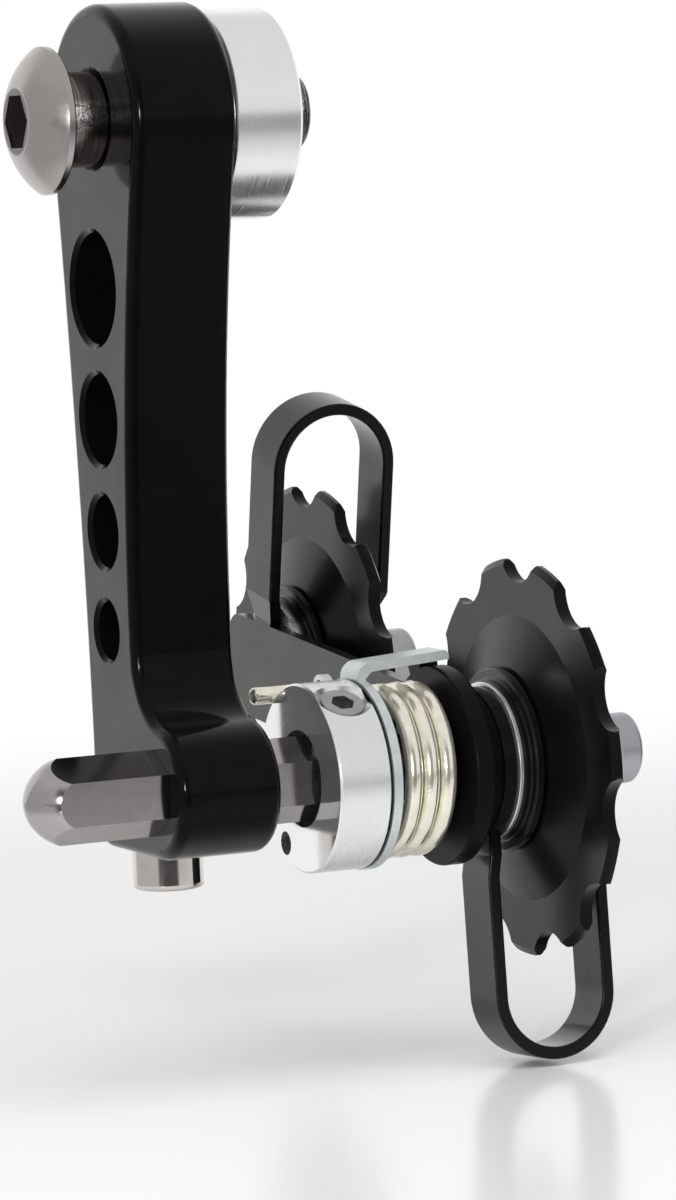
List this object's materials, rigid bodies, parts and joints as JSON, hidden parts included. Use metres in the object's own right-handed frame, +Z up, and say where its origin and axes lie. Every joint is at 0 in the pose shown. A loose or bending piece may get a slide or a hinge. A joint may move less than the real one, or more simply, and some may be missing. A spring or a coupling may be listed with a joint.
{
  "type": "bicycle chain tensioner",
  "caption": "Chain tensioner for a single-speed bicycle: a hanger arm clamps a hexagonal axle that carries a sprung cage with toothed pulleys.",
  "frame": {"origin": "on the hanger bolt's axis, at the start of its free thread, 0.4 mm past the spacer's inner face", "axes": "+X along the hanger bolt towards the wheel, +Y to the rear, +Z up"},
  "size_m": [0.0779, 0.1062, 0.1264],
  "materials": {
    "black_anodised": "black anodised, semi-gloss",
    "bright_aluminium": "bright turned",
    "polished_steel": "polished",
    "nickel_steel": "nickel plated, polished",
    "turned_aluminium": "turned, polished",
    "dark_steel": "plain",
    "zinc_sheet": "bright zinc plated",
    "spring_wire": "zinc plated wire",
    "black_nylon": "moulded, satin",
    "black_cage": "black, satin",
    "black_pulley": "moulded, satin",
    "black_cap": "moulded, satin",
    "bright_washer": "bright",
    "bush_steel": "plain",
    "satin_steel": "satin plated"
  },
  "bodies": {
    "arm": {"arm": "black_anodised", "hanger_spacer": "bright_aluminium", "clamp_screw": "polished_steel"},
    "hanger_bolt": {"hanger_bolt": "nickel_steel"},
    "axle": {"pivot_axle": "polished_steel", "axle_collar": "turned_aluminium", "collar_grub_screw": "dark_steel", "stop_ring": "zinc_sheet", "torsion_spring": "spring_wire", "front_bush": "bush_steel", "front_washer_left": "bright_washer", "front_washer_right": "bright_washer", "front_cap_left": "black_cap", "front_cap_right": "black_cap", "front_pulley_bolt": "satin_steel", "front_bolt_washer": "bright_washer"},
    "cage": {"cage": "black_cage", "pivot_sleeve": "black_nylon", "rear_bush": "bush_steel", "rear_washer_left": "bright_washer", "rear_washer_right": "bright_washer", "rear_cap_left": "black_cap", "rear_cap_right": "black_cap", "rear_pulley_bolt": "satin_steel", "rear_bolt_washer": "bright_washer"},
    "front_pulley": {"front_pulley": "black_pulley"},
    "rear_pulley": {"rear_pulley": "black_pulley"}
  },
  "joints": [
    {"name": "hanger_bolt_slide", "type": "slide", "parent": "arm", "child": "hanger_bolt", "axis": [1, 0, 0], "range_m": [0, 0.0051]},
    {"name": "axle_slide", "type": "slide", "parent": "arm", "child": "axle", "axis": [1, 0, 0], "range_m": [0, 0.012]},
    {"name": "cage_pivot", "type": "hinge", "parent": "axle", "child": "cage", "pos_m": [0.0262, -0.01, -0.0773], "axis": [-1, 0, 0], "range_deg": [0, 120], "stiffness_Nm_per_rad": 0.25, "springref_deg": -85.94, "deforming": ["torsion_spring"]},
    {"name": "front_pulley_spin", "type": "hinge", "parent": "axle", "child": "front_pulley", "pos_m": [0.0262, -0.01, -0.0773], "axis": [1, 0, 0], "continuous": true},
    {"name": "rear_pulley_spin", "type": "hinge", "parent": "cage", "child": "rear_pulley", "pos_m": [0.0262, 0.0489, -0.07105], "axis": [1, 0, 0], "continuous": true}
  ]
}
